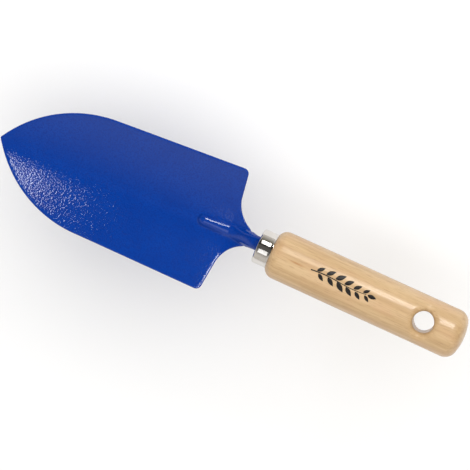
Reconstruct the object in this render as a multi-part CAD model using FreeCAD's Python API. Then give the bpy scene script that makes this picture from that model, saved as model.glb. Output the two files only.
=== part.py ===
import FreeCAD, Part
import math
import os

# Hand trowel in three pieces: a pressed sheet-steel blade with its rib, neck and tang, a drawn metal
# ferrule, and a turned wooden handle with a hang hole.
#
# X runs along the handle's axis, from the blade's tip to the handle's end. +Z is up, out of the blade's
# hollow side. The origin is the centre of the hang hole. Lengths are millimetres, angles are degrees.

# Handle
HANDLE_LENGTH = 117.8        # bare wood, from the ferrule to the end
HANDLE_FRONT_DIAMETER = 28.1
HANDLE_END_DIAMETER = 28.4
SHOULDER_ROUND = 6.0         # radius where the wood comes down to the ferrule
SHOULDER_LEDGE = 0.3         # flat ring of wood that shows round the ferrule's rear rim
END_ROUND = 7.2              # radius round the end face
END_DOME_RADIUS = 32.0       # the end face is slightly domed
HOLE_DIAMETER = 12.2
HOLE_TO_END = 24.4
HOLE_MOUTH_ROUND = 2.8

# Ferrule
FERRULE_DIAMETER = 20.2
FERRULE_LENGTH = 9.0
FERRULE_WALL = 0.8
FERRULE_LIP_ROUND = 1.3      # outer radius of the front lip
FERRULE_MOUTH_DIAMETER = 12.6
FERRULE_MOUTH_ROUND = 0.3
FERRULE_FLARE = 0.25         # how far the rear rim stands out
FERRULE_FLARE_LENGTH = 1.2
FERRULE_RIM_LENGTH = 0.35    # level stretch at the end of the flare

# Blade: outline, seen from above
SHEET_THICKNESS = 1.4
BLADE_LENGTH = 139.0         # tip to rear corners
SHOULDER_FROM_TIP = 60.0     # where the curved front edge meets the straight side
SHOULDER_HALF_WIDTH = 34.2
SIDE_FLARE = 1.95            # each side widens towards the rear by this angle
REAR_EDGE_LEAN = 5.4         # the rear edges lean towards the handle as they run inwards
REAR_EDGE_SKEW = 1.3         # the rear edge is cut this much out of square
NECK_LENGTH = 20.6           # rear corners to ferrule
NECK_WIDTH = 8.2
TIP_ROUND = 1.0
REAR_CORNER_ROUND = 3.2
NECK_FILLET = 18.0
TANG_FULL_WIDTH_LENGTH = 12.0
TANG_LENGTH = 48.0
TANG_END_WIDTH = 3.0
BLADE_YAW = 2.2              # the blade sits this much off the handle's axis
YAW_PIVOT_TO_FERRULE = 18.0  # and crosses it here, in the neck

# Blade: pressed form
KEEL_DROP = 9.5              # the hollow's lowest line lies this far under the handle's axis
KEEL_SOFTNESS = 2.6          # larger makes the crease along the keel rounder
KEEL_SLOPE = 0.20            # rise per mm across, just beside the keel
WING_CURVE = 0.0050          # extra rise per mm squared, which steepens the wings outwards
TIP_RISE = 5.5               # the keel sweeps up this much at the tip
TIP_RISE_LENGTH = 80.0
RIB_NOSE_TO_FERRULE = 38.0
RIB_HEIGHT = 3.1
RIB_NOSE_RADIUS = 3.7        # radius of the rib's crest at its nose
NECK_CREST_RADIUS = 9.0      # radius of the crest where the neck meets the ferrule
RIB_FLANK_ANGLE = 60.0
RIB_FILLET = 0.9
RIB_CLIMB = -1.1            # rise of the crest from the nose to the bend of the neck
NECK_TOP = 2.4               # height of the crest over the handle's axis inside the ferrule
NECK_BEND_LENGTH = 19.0
NECK_LEG = 1.2               # how far the neck's long edges turn down
LIFT_HALF_WIDTH = 13.0       # the sheet beside the rib rises with it over about this half width
LIFT_SHARE = 0.8

# Net of control points under the pressed surface, measured from the ferrule's front edge and the keel
SLAB_MARGIN = 3.0            # the surface runs on past the blade's ends
NET_HALF_WIDTH = 42.0
NET_FINE_LENGTH = 46.0       # the net is fine from here to the ferrule, for the rib and the neck
NET_FINE_HALF_WIDTH = 9.0
NET_BLADE_STEP = 6.5
NET_RIB_STEP = 1.17
NET_TANG_STEP = 5.3
NET_RIB_STEP_ACROSS = 0.69
NET_WING_STEP_ACROSS = 3.3
SLOPE_STEP = 0.05            # short distance over which the surface's slope is taken

CUTTER_HEIGHT = 80.0         # more than the whole pressing is deep
TOUCH = 0.05                 # edges this near a place count as lying on it

# Positions along the handle's axis
handle_end_x = HOLE_TO_END
shoulder_x = handle_end_x - HANDLE_LENGTH
ferrule_front_x = shoulder_x - FERRULE_LENGTH

# Positions along the blade, from the ferrule's front edge
rear_corner_x = -NECK_LENGTH
tip_x = rear_corner_x - BLADE_LENGTH
rib_nose_centre_x = -RIB_NOSE_TO_FERRULE + RIB_NOSE_RADIUS
neck_bend_x = -NECK_BEND_LENGTH
neck_rise = NECK_TOP + KEEL_DROP - RIB_HEIGHT   # from the rib's nose to the top of the neck

X_AXIS = FreeCAD.Vector(1, 0, 0)
Z_AXIS = FreeCAD.Vector(0, 0, 1)
ORIGIN = FreeCAD.Vector(0, 0, 0)


def ease(t):
    """Runs from 0 to 1 with level ends as t runs from 0 to 1."""
    t = min(max(t, 0.0), 1.0)
    return t * t * (3.0 - 2.0 * t)


def spaced(start, end, step):
    """Even values about step apart, from start up to, but not including, end."""
    count = round((end - start) / step)
    return [start + (end - start) * i / count for i in range(count)]


# ---------------------------------------------------------------- blade: the pressed form

def crest_rise(x):
    """How far the rib's crest has climbed at x, from its nose."""
    climb = RIB_CLIMB * min(max((x - rib_nose_centre_x) / (neck_bend_x - rib_nose_centre_x), 0.0), 1.0)
    return climb + (neck_rise - RIB_CLIMB) * ease((x - neck_bend_x) / NECK_BEND_LENGTH)


def hollow_height(x, y):
    """Top of the dished sheet, without its rib."""
    across = math.hypot(y, KEEL_SOFTNESS) - KEEL_SOFTNESS
    sweep = max(0.0, (tip_x + TIP_RISE_LENGTH - x) / TIP_RISE_LENGTH) ** 2
    neck_share = LIFT_SHARE * ease((x - neck_bend_x) / NECK_BEND_LENGTH)
    lift = neck_share * neck_rise / (1.0 + (y / LIFT_HALF_WIDTH) ** 4)
    return -KEEL_DROP + TIP_RISE * sweep + KEEL_SLOPE * across + WING_CURVE * y * y + lift


def rib_height(x, y):
    """Top of the rib and the neck: a half-round ridge with a round nose, flatter towards the ferrule."""
    along = ease((x - rib_nose_centre_x) / -rib_nose_centre_x)
    radius = RIB_NOSE_RADIUS + (NECK_CREST_RADIUS - RIB_NOSE_RADIUS) * along
    off_crest = math.hypot(max(0.0, rib_nose_centre_x - x), y)
    flank_start = radius * math.sin(math.radians(RIB_FLANK_ANGLE))
    on_arc = min(off_crest, flank_start)
    fall = radius - math.sqrt(radius * radius - on_arc * on_arc)
    fall += (off_crest - on_arc) * math.tan(math.radians(RIB_FLANK_ANGLE))
    to_edge = min(2.0 * abs(y) / NECK_WIDTH, 2.0)
    leg = NECK_LEG * along * to_edge ** 6
    return -KEEL_DROP + RIB_HEIGHT + crest_rise(x) - fall - leg


def sheet_top(x, y):
    """Top of the whole pressing: whichever of the hollow and the rib is higher, filleted together."""
    hollow = hollow_height(x, y)
    rib = rib_height(x, y)
    return 0.5 * (hollow + rib + math.hypot(hollow - rib, RIB_FILLET))


def sheet_point(x, y, depth):
    """A point of the sheet, measured down into it from its top face."""
    slope_x = (sheet_top(x + SLOPE_STEP, y) - sheet_top(x - SLOPE_STEP, y)) / (2.0 * SLOPE_STEP)
    slope_y = (sheet_top(x, y + SLOPE_STEP) - sheet_top(x, y - SLOPE_STEP)) / (2.0 * SLOPE_STEP)
    normal = FreeCAD.Vector(-slope_x, -slope_y, 1.0).normalize()
    return FreeCAD.Vector(x, y, sheet_top(x, y)) - normal * depth


def sheet_face(depth):
    """A smooth face through the whole pressing, depth mm under its top."""
    front = tip_x - SLAB_MARGIN
    end = TANG_LENGTH + SLAB_MARGIN
    x_lines = spaced(front, -NET_FINE_LENGTH, NET_BLADE_STEP)
    x_lines += spaced(-NET_FINE_LENGTH, SLAB_MARGIN, NET_RIB_STEP)
    x_lines += spaced(SLAB_MARGIN, end, NET_TANG_STEP) + [end]
    half = spaced(0.0, NET_FINE_HALF_WIDTH, NET_RIB_STEP_ACROSS)
    half += spaced(NET_FINE_HALF_WIDTH, NET_HALF_WIDTH, NET_WING_STEP_ACROSS) + [NET_HALF_WIDTH]
    y_lines = [-y for y in reversed(half[1:])] + half
    poles = [[sheet_point(x, y, depth) for y in y_lines] for x in x_lines]

    degree = 3
    u_knots = list(range(len(x_lines) - degree + 1))
    v_knots = list(range(len(y_lines) - degree + 1))
    u_repeats = [degree + 1] + [1] * (len(u_knots) - 2) + [degree + 1]
    v_repeats = [degree + 1] + [1] * (len(v_knots) - 2) + [degree + 1]
    surface = Part.BSplineSurface()
    surface.buildFromPolesMultsKnots(poles, u_repeats, v_repeats, u_knots, v_knots, False, False,
                                     degree, degree)
    return surface


def pressed_slab():
    """The sheet with its full thickness, before its outline is cut."""
    top = sheet_face(0.0)
    bottom = sheet_face(SHEET_THICKNESS)
    u_end = top.bounds()[1]
    v_end = top.bounds()[3]
    faces = [top.toShape(), bottom.toShape()]
    rims = [("uIso", 0.0), ("uIso", u_end), ("vIso", 0.0), ("vIso", v_end)]
    for kind, at in rims:
        upper = getattr(top, kind)(at).toShape()
        lower = getattr(bottom, kind)(at).toShape()
        faces.append(Part.makeRuledSurface(upper, lower))
    shell = Part.Shell(faces)
    shell.sewShape()
    slab = Part.Solid(shell)
    if slab.Volume < 0:
        slab.reverse()
    return slab


# ---------------------------------------------------------------- blade: the outline

def front_edge_arc(side):
    """The curved edge from the tip to the shoulder, tangent there to the straight side."""
    tip = FreeCAD.Vector(tip_x, 0, 0)
    shoulder = FreeCAD.Vector(tip_x + SHOULDER_FROM_TIP, side * SHOULDER_HALF_WIDTH, 0)
    flare = math.radians(SIDE_FLARE)
    inward = FreeCAD.Vector(math.sin(flare), -side * math.cos(flare), 0)
    chord = tip - shoulder
    radius = chord.Length ** 2 / (2.0 * chord.dot(inward))
    centre = shoulder + inward * radius
    middle = centre + ((tip + shoulder) * 0.5 - centre).normalize() * radius
    return Part.Arc(tip, middle, shoulder).toShape()


def outline_points(side):
    """Corners of one half of the outline, from the shoulder to the tang's end."""
    neck_half = NECK_WIDTH / 2.0
    straight = BLADE_LENGTH - SHOULDER_FROM_TIP
    corner_half = SHOULDER_HALF_WIDTH + straight * math.tan(math.radians(SIDE_FLARE))
    skew = side * math.tan(math.radians(REAR_EDGE_SKEW))
    corner_x = rear_corner_x + corner_half * skew
    lean = math.tan(math.radians(REAR_EDGE_LEAN))
    inner_x = rear_corner_x + (corner_half - neck_half) * lean + neck_half * skew
    return [
        FreeCAD.Vector(tip_x + SHOULDER_FROM_TIP, side * SHOULDER_HALF_WIDTH, 0),
        FreeCAD.Vector(corner_x, side * corner_half, 0),
        FreeCAD.Vector(inner_x, side * neck_half, 0),
        FreeCAD.Vector(TANG_FULL_WIDTH_LENGTH, side * neck_half, 0),
        FreeCAD.Vector(TANG_LENGTH, side * TANG_END_WIDTH / 2.0, 0),
    ]


def outline_prism():
    """The outline as a tall prism, its corners rounded."""
    left = outline_points(1)
    right = outline_points(-1)
    edges = [front_edge_arc(1), front_edge_arc(-1)]
    for points in (left, right):
        edges += [Part.makeLine(a, b) for a, b in zip(points, points[1:])]
    edges.append(Part.makeLine(left[-1], right[-1]))
    wire = Part.Wire(Part.__sortEdges__(edges))
    prism = Part.Face(wire).extrude(Z_AXIS * CUTTER_HEIGHT)
    prism.translate(Z_AXIS * (-CUTTER_HEIGHT / 2.0))

    rounds = [(FreeCAD.Vector(tip_x, 0, 0), TIP_ROUND)]
    for points in (left, right):
        rounds.append((points[1], REAR_CORNER_ROUND))
        rounds.append((points[2], NECK_FILLET))
    for corner, radius in rounds:
        upright = [e for e in prism.Edges if is_upright_at(e, corner)]
        prism = prism.makeFillet(radius, upright)
    return prism


def is_upright_at(edge, corner):
    """Whether an edge is a vertical line through a corner."""
    ends = [v.Point for v in edge.Vertexes]
    return all(math.hypot(p.x - corner.x, p.y - corner.y) < TOUCH for p in ends)


def make_blade():
    blade = pressed_slab().common(outline_prism()).Solids[0]
    blade.rotate(X_AXIS * -YAW_PIVOT_TO_FERRULE, Z_AXIS, BLADE_YAW)
    blade.translate(X_AXIS * ferrule_front_x)
    return blade


# ---------------------------------------------------------------- ferrule and handle

def turned(edges):
    """A solid of revolution about the handle's axis, from its closed half profile."""
    return Part.Face(Part.Wire(Part.__sortEdges__(edges))).revolve(ORIGIN, X_AXIS, 360)


def profile(points):
    """Straight edges through a list of (x, radius) points, closed back to the first."""
    corners = [FreeCAD.Vector(x, radius, 0) for x, radius in points]
    return [Part.makeLine(a, b) for a, b in zip(corners, corners[1:] + corners[:1])]


def ring_edges(solid, x, radius):
    """The round edges of a turned solid at one place of its profile."""
    found = []
    for edge in solid.Edges:
        if isinstance(edge.Curve, Part.Circle) and abs(edge.Curve.Center.x - x) < TOUCH:
            if abs(edge.Curve.Radius - radius) < TOUCH:
                found.append(edge)
    return found


def make_ferrule():
    outer = FERRULE_DIAMETER / 2.0
    inner = outer - FERRULE_WALL
    mouth = FERRULE_MOUTH_DIAMETER / 2.0
    back = shoulder_x
    front = ferrule_front_x
    ferrule = turned(profile([
        (front, mouth), (front, outer), (back - FERRULE_FLARE_LENGTH, outer),
        (back - FERRULE_RIM_LENGTH, outer + FERRULE_FLARE), (back, outer + FERRULE_FLARE),
        (back, inner), (front + FERRULE_WALL, inner), (front + FERRULE_WALL, mouth),
    ]))
    ferrule = ferrule.makeFillet(FERRULE_LIP_ROUND, ring_edges(ferrule, front, outer))
    return ferrule.makeFillet(FERRULE_MOUTH_ROUND, ring_edges(ferrule, front, mouth))


def make_handle_blank():
    """The turned handle, with the spigot that the ferrule sits on."""
    spigot = FERRULE_DIAMETER / 2.0 - FERRULE_WALL
    front_radius = HANDLE_FRONT_DIAMETER / 2.0
    end_radius = HANDLE_END_DIAMETER / 2.0
    shoulder_radius = FERRULE_DIAMETER / 2.0 + FERRULE_FLARE + SHOULDER_LEDGE
    round_centre = front_radius - SHOULDER_ROUND
    round_start = math.asin((shoulder_radius - round_centre) / SHOULDER_ROUND)
    round_x = shoulder_x + SHOULDER_ROUND * math.cos(round_start)
    dome_centre_x = handle_end_x - END_DOME_RADIUS
    reach = END_DOME_RADIUS - END_ROUND
    corner_r = end_radius - END_ROUND
    corner_x = dome_centre_x + math.sqrt(reach ** 2 - corner_r ** 2)
    lean = math.atan2(corner_r, corner_x - dome_centre_x)

    def point(x, radius):
        return FreeCAD.Vector(x, radius, 0)

    def on_circle(x, radius, size, angle):
        return point(x + size * math.cos(angle), radius + size * math.sin(angle))

    shoulder_start = point(shoulder_x, shoulder_radius)
    shoulder_end = point(round_x, front_radius)
    middle = math.pi - (round_start + math.pi / 2.0) / 2.0
    shoulder_mid = on_circle(round_x, round_centre, SHOULDER_ROUND, middle)
    corner_start = point(corner_x, end_radius)
    corner_mid = on_circle(corner_x, corner_r, END_ROUND, (math.radians(90) + lean) / 2.0)
    corner_end = on_circle(corner_x, corner_r, END_ROUND, lean)
    dome_mid = on_circle(dome_centre_x, 0.0, END_DOME_RADIUS, lean / 2.0)
    apex = point(handle_end_x, 0.0)
    front = ferrule_front_x + FERRULE_WALL
    edges = [
        Part.makeLine(point(front, 0.0), point(front, spigot)),
        Part.makeLine(point(front, spigot), point(shoulder_x, spigot)),
        Part.makeLine(point(shoulder_x, spigot), shoulder_start),
        Part.Arc(shoulder_start, shoulder_mid, shoulder_end).toShape(),
        Part.makeLine(shoulder_end, corner_start),
        Part.Arc(corner_start, corner_mid, corner_end).toShape(),
        Part.Arc(corner_end, dome_mid, apex).toShape(),
        Part.makeLine(apex, point(front, 0.0)),
    ]
    return turned(edges)


def make_handle(blade):
    """The handle with its rounded hang hole, driven over the blade's tang."""
    handle = make_handle_blank()
    length = HANDLE_END_DIAMETER * 2.0
    drill = Part.makeCylinder(HOLE_DIAMETER / 2.0, length, Z_AXIS * (-length / 2.0), Z_AXIS)
    handle = handle.cut(drill)
    reach = HOLE_DIAMETER / 2.0 + TOUCH
    mouths = []
    for edge in handle.Edges:
        box = edge.BoundBox
        near = max(abs(box.XMin), abs(box.XMax), abs(box.YMin), abs(box.YMax)) < reach
        if near and box.ZLength < HANDLE_END_DIAMETER / 2.0:
            mouths.append(edge)
    handle = handle.makeFillet(HOLE_MOUTH_ROUND, mouths)
    return handle.cut(blade).Solids[0]


def main():
    blade = make_blade()
    pieces = {
        "blade": blade,
        "ferrule": make_ferrule(),
        "handle": make_handle(blade),
    }
    os.makedirs("parts", exist_ok=True)
    for name, shape in pieces.items():
        box = shape.BoundBox
        print(f"{name}: valid {shape.isValid()}, {shape.Volume:.0f} mm3, "
              f"x {box.XMin:.1f} to {box.XMax:.1f}, y {box.YMin:.1f} to {box.YMax:.1f}, "
              f"z {box.ZMin:.1f} to {box.ZMax:.1f}")
        shape.exportStep(f"parts/{name}.step")


main()
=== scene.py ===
import bmesh
import bpy
import math
import numpy as np
from mathutils import Matrix, Vector
from mathutils.geometry import delaunay_2d_cdt


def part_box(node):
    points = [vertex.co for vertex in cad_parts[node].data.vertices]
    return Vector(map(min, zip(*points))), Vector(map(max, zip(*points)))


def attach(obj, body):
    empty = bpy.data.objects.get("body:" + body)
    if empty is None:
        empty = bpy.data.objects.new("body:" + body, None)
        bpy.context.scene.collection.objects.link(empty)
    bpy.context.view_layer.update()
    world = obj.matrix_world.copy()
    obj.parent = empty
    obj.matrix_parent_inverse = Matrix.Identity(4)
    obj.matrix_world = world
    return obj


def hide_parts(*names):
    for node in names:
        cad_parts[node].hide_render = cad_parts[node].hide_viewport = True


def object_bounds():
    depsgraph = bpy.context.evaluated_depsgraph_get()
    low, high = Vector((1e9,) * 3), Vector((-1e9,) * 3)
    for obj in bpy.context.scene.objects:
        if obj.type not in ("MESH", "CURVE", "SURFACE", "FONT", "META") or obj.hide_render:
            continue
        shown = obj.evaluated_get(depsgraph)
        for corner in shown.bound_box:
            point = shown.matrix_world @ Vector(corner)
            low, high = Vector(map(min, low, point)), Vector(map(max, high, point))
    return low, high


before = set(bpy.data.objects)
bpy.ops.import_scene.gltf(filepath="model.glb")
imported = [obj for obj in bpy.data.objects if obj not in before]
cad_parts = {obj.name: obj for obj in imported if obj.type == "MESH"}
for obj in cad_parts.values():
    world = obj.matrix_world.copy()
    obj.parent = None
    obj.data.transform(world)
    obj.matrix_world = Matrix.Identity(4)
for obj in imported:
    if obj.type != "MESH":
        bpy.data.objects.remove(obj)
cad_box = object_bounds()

# Hand trowel: a powder-coated pressed blade, a plated ferrule and a lacquered wooden handle with a
# printed leaf sprig. Each CAD node is rebuilt as a finer mesh in the same place, and the sprig is added.
#
# X runs along the handle's axis from the blade's tip to the handle's end, +Z is up out of the hollow
# side, and the origin is the centre of the hang hole. Shapes are worked out in millimetres and turned
# to metres when a mesh is made. Angles are degrees.

MM = 0.001

# Blade: outline, seen from above, measured from the ferrule's front edge
SHEET_THICKNESS = 1.4
BLADE_LENGTH = 139.0         # tip to rear corners
SHOULDER_FROM_TIP = 60.0
SHOULDER_HALF_WIDTH = 34.2
SIDE_FLARE = 1.95
REAR_EDGE_LEAN = 5.4
REAR_EDGE_SKEW = 1.3
NECK_LENGTH = 20.6
NECK_WIDTH = 8.2
TIP_ROUND = 1.0
REAR_CORNER_ROUND = 3.2
NECK_FILLET = 18.0
TANG_FULL_WIDTH_LENGTH = 12.0
TANG_LENGTH = 48.0
TANG_END_WIDTH = 3.0
TANG_END_ROUND = 0.8
BLADE_YAW = 2.2
YAW_PIVOT_TO_FERRULE = 18.0

# Blade: pressed form
KEEL_DROP = 9.5
KEEL_SOFTNESS = 2.6
KEEL_SLOPE = 0.20
WING_CURVE = 0.0050
TIP_RISE = 5.5
TIP_RISE_LENGTH = 80.0
RIB_NOSE_TO_FERRULE = 38.0
RIB_HEIGHT = 3.1
RIB_NOSE_RADIUS = 3.7
NECK_CREST_RADIUS = 9.0
RIB_FLANK_ANGLE = 60.0
RIB_FILLET = 0.9
RIB_CLIMB = -1.1             # from the rib's nose to the neck's bend: the crest falls
NECK_TOP = 2.4               # the neck's top at the ferrule, over the handle's axis
NECK_BEND_LENGTH = 19.0
NECK_LEG = 1.2
LIFT_HALF_WIDTH = 13.0
LIFT_SHARE = 0.8             # how far the sheet beside the neck follows its rise

# Blade: mesh
OUTLINE_STEP = 0.9           # spacing of the points along the edge
RIM_STEPS = 8                # rows of faces round the edge from the top to the bottom
RIM_SQUARENESS = 2.6         # 2 is a half-round edge, more is squarer
GRID_STEP = 1.1              # spacing of the points inside the outline
RIB_GRID_STEP = 0.55         # and on the rib and neck
RIB_GRID_HALF_WIDTH = 8.0
GRID_MARGIN = 0.55           # grid points keep this many steps away from the border
RIB_GRID_MARGIN = 0.6
SLOPE_STEP = 0.12            # half the length over which the sheet's slope is measured
OFFSET_PASSES = 4            # rounds of moving the top face's points to lie over the plan
LEAST_ARC_STEPS = 6
MERGE_DISTANCE = 1e-7        # the triangulation joins points nearer than this

# The powder coat's orange peel is strong over the front half of the blade and settles behind it
PEEL_FADE_START = -90.0
PEEL_FADE_LENGTH = 34.0
REAR_SMOOTHNESS = 0.5

# Ferrule
FERRULE_DIAMETER = 20.2
FERRULE_WALL = 0.8
FERRULE_LIP_ROUND = 1.3
FERRULE_MOUTH_DIAMETER = 12.6
FERRULE_MOUTH_ROUND = 0.3
FERRULE_FLARE = 0.25
FERRULE_FLARE_LENGTH = 1.2
FERRULE_RIM_ROUND = 0.25     # rounds the outer edge of the rear rim
FERRULE_RIM_LEAN = 60.0      # where that rounding starts, as an angle from the handle's axis
FERRULE_SEGMENTS = 160
FERRULE_LIP_STEPS = 10
FERRULE_RIM_STEPS = 6
FERRULE_BODY_ROWS = 8
FERRULE_FLARE_ROWS = 8
FERRULE_SHARP_ANGLE = 50.0

# Handle
HANDLE_FRONT_DIAMETER = 28.1
HANDLE_END_DIAMETER = 28.4
SHOULDER_ROUND = 6.0
SHOULDER_LEDGE = 0.3
END_ROUND = 7.2
END_DOME_RADIUS = 32.0
HOLE_DIAMETER = 12.2
HOLE_MOUTH_ROUND = 2.8
HANDLE_SEGMENTS = 128        # faces round the handle, a multiple of 4
HANDLE_FRONT_ROWS = 40       # rows of faces from the shoulder to the patch round the hole
HANDLE_ROUND_STEPS = 16
DOME_STEPS = 8
DOME_LAST_LEAN = 1.0         # the dome's last ring lies this far off the axis
HANDLE_SHARP_ANGLE = 60.0
HANDLE_WELD = 0.004
HOLE_PATCH_HALF_LENGTH = 14.0
HOLE_PATCH_COLUMNS = 32      # faces along the patch of the handle round the hole
HOLE_PATCH_RINGS = 10
MOUTH_RINGS = 10
BORE_RINGS = 8

# Printed sprig, on the top of the handle
SPRIG_START = -69.0          # the stem's foot, along the handle's axis
SPRIG_LENGTH = 34.0
SPRIG_ACROSS = 1.2           # the stem's line, round the wood from straight up
SPRIG_SWAY = 0.5
STEM_WIDTH = 0.7
STEM_ROWS = 40
STEM_TAPER = 0.5             # share of its width that the stem loses towards its tip
LEAF_PAIRS = 6
FIRST_PAIR = 0.6             # from the stem's foot, in spaces between pairs
LEAF_LENGTH = 6.6
LEAF_WIDTH = 2.9
LEAF_LEAN = 38.0
LEAF_STAGGER = 1.4
LEAF_STEPS = 14
LEAF_BELLY = 0.85            # below 1 a leaf is widest nearer its foot
LEAF_FULLNESS = 0.9          # below 1 its sides are fuller than a sine
LEAF_SHRINK = 0.35           # how much smaller leaves get, half a stem away from there
LARGEST_PAIR = 0.45          # where leaves are largest, as a share of the stem
LEAF_FOOT = 0.8              # a leaf starts this many stem widths off the stem's line
TIP_LEAF = 0.8
INK_HEIGHT = 0.03
INK_DEPTH = 0.06             # the ink's underside lies this far inside the wood
INK_COLUMNS = 4
INK_LEAST = 0.05             # half width left at a leaf's pointed ends
INK_WELD = 0.002

# Finishes: noise scales are per metre, depths of relief in millimetres, colours linear
NOISE_LOW = 0.3              # most of a noise lies between these
NOISE_HIGH = 0.7
PAINT_ROUGHNESS = (0.12, 0.06)
PLATING_ROUGHNESS = (0.07, 0.14)
WOOD_ROUGHNESS = (0.46, 0.38)
INK_ROUGHNESS = (0.30, 0.45)
PEEL_SCALE = 1100.0
PEEL_DEPTH = 0.088
PEEL_LEAST = 0.02            # share of the peel's depth that is left on the rib
MOTTLE_SCALE = 55.0
# painted shade: the darker blue given to the low spots of the orange peel, as if shade lay in them
PIT_SHADE_BLUE = (0.0006, 0.030, 0.240)
DEEP_BLUE = (0.0008, 0.036, 0.274)
CLEAR_BLUE = (0.0014, 0.043, 0.306)
DRAW_LINES_SCALE = (900.0, 60.0, 60.0)
DRAW_LINES_DEPTH = 0.0015
PLATING_WAVE_SCALE = 160.0
PLATING_WAVE_DEPTH = 0.012
PLATING_DARK = (0.64, 0.61, 0.57)
PLATING_LIGHT = (0.72, 0.69, 0.66)
BAND_SCALE = (9.0, 130.0, 130.0)
STREAK_SCALE = (24.0, 520.0, 520.0)
FLECK_SCALE = (170.0, 1700.0, 1700.0)
PATCH_SCALE = (40.0, 90.0, 90.0)
WOOD_DARK = (0.50, 0.325, 0.165)
WOOD_MIDDLE = (0.57, 0.385, 0.202)
WOOD_LIGHT = (0.63, 0.442, 0.245)
DARK_STREAK = (0.43, 0.262, 0.122)
LIGHT_STREAK = (0.69, 0.49, 0.29)
FLECK_BROWN = (0.42, 0.26, 0.13)
PINK_BROWN = (0.57, 0.33, 0.18)
MARK_BROWN = (0.42, 0.20, 0.07)
MARK_STRENGTH = 0.85
GRAIN_DEPTH = 0.02
INK_GRAIN_SCALE = (160.0, 2200.0, 2200.0)
INK_GRAIN_DEPTH = 0.01
INK_BLACK = (0.004, 0.004, 0.005)
INK_THIN = (0.022, 0.018, 0.014)
FLOOR_CLOUD_SCALE = 3.0
FLOOR_GREY = (0.86, 0.86, 0.86)
FLOOR_PALE = (0.88, 0.88, 0.88)

# A brown streak in the wood, a little behind the shoulder
BROWN_MARK_CENTRE = (-77.5, 0.9, 14.0)
BROWN_MARK_SIZE = (7.0, 0.7, 4.0)

# View and light. Angles across the handle are measured from the camera's own line of sight.
VIEW_TILT_ALONG = 4.2        # the camera leans towards the handle's end
VIEW_TILT_ACROSS = 5.597     # and towards +Y
VIEW_ROLL = 24.537
VIEW_DISTANCE = 1670.0
VIEW_AIM = (2.06, 0.08, 0.0) # the point looked at, from the middle of the CAD box
SENSOR_WIDTH = 36.0
LENS = 227.1
CLIP_START = 50.0
CLIP_END = 50000.0
FAR_LIGHT_DISTANCE = 2300.0
NEAR_LIGHT_DISTANCE = 500.0
STRIP_ANGLE = 32.0
STRIP_SPREAD = 22.0
FAR_STRIP_RADIANCE = 18.0
FAR_STRIP_REACH = (-150.0, 300.0)   # from the middle of the CAD box, along the handle
NEAR_STRIP_RADIANCE = 3.0
NEAR_STRIP_REACH = (-56.0, -22.0)
CARD_ANGLE = -30.0
CARD_SPREAD = 26.0
CARD_RADIANCE = 1.35
CARD_REACH = (-56.0, 130.0)
FILL_ANGLE = 10.0
FILL_SIZE = 4400.0
FILL_DISTANCE = 2300.0
FILL_RADIANCE = 2.05
ROOM_RADIANCE = 0.8
WHITE = (1.0, 1.0, 1.0)
WARM_WHITE = (1.0, 0.99, 0.97)
COOL_WHITE = (0.96, 0.98, 1.0)
NEUTRAL = (1.0, 0.96, 0.90)
OLIVE = (1.0, 0.95, 0.75)
# The room's light: (angle across the handle from the line of sight, brightness, colour)
ROOM_STOPS = [
    (-180.0, 0.75, NEUTRAL), (-66.0, 0.9, NEUTRAL), (-52.0, 0.66, NEUTRAL), (-40.0, 0.34, NEUTRAL),
    (-28.0, 0.16, NEUTRAL), (-9.0, 0.15, NEUTRAL), (7.0, 0.15, NEUTRAL), (12.0, 0.04, NEUTRAL),
    (46.0, 0.05, OLIVE), (54.0, 0.34, OLIVE), (64.0, 0.55, NEUTRAL), (82.0, 0.9, NEUTRAL),
    (180.0, 0.75, NEUTRAL),
]
FLOOR_DROP = 60.0            # the floor lies this far under the trowel, as under a glass table
FLOOR_SIZE = 8000.0

# Positions along the handle's axis and the trowel's lowest height, in millimetres, from the CAD model
ferrule_front_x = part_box("ferrule")[0].x / MM
shoulder_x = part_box("ferrule")[1].x / MM
handle_end_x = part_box("handle")[1].x / MM
trowel_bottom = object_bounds()[0].z / MM

# Positions along the blade, from the ferrule's front edge
rear_corner_x = -NECK_LENGTH
tip_x = rear_corner_x - BLADE_LENGTH
rib_nose_centre_x = -RIB_NOSE_TO_FERRULE + RIB_NOSE_RADIUS
neck_bend_x = -NECK_BEND_LENGTH
neck_rise = NECK_TOP + KEEL_DROP - RIB_HEIGHT   # from the rib's nose to the top of the neck


# ---------------- mesh helpers

def make_object(name, points, faces, cad_node):
    """A smooth-shaded mesh object in the row frame, from points in millimetres."""
    mesh = bpy.data.meshes.new(name)
    mesh.from_pydata([tuple(p) for p in np.asarray(points) * MM], [], faces)
    mesh.validate()
    mesh.shade_smooth()
    made = bpy.data.objects.new(name, mesh)
    bpy.context.scene.collection.objects.link(made)
    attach(made, "root")
    if cad_node:
        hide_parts(cad_node)
    return made


def ease(t):
    """Runs from 0 to 1 with level ends as t runs from 0 to 1."""
    t = np.clip(t, 0.0, 1.0)
    return t * t * (3.0 - 2.0 * t)


def turned_points(profile, segments):
    """Rings of points about the X axis, one for each (x, radius) of a profile."""
    angles = np.arange(segments) * (2.0 * math.pi / segments)
    rings = []
    for x, radius in profile:
        ring = np.stack([np.full(segments, x), radius * np.sin(angles), radius * np.cos(angles)], 1)
        rings.append(ring)
    return np.vstack(rings)


def ring_faces(first, second, segments):
    """Quads between two rings that start at these point numbers."""
    faces = []
    for i in range(segments):
        j = (i + 1) % segments
        faces.append((first + i, second + i, second + j, first + j))
    return faces


def arc(centre_x, centre_r, radius, start, end, steps):
    """Profile points (x, radius) round an arc, both ends included."""
    angles = np.radians(np.linspace(start, end, steps + 1))
    return [(centre_x + radius * math.cos(a), centre_r + radius * math.sin(a)) for a in angles]


# ---------------- blade: the pressed form

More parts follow.
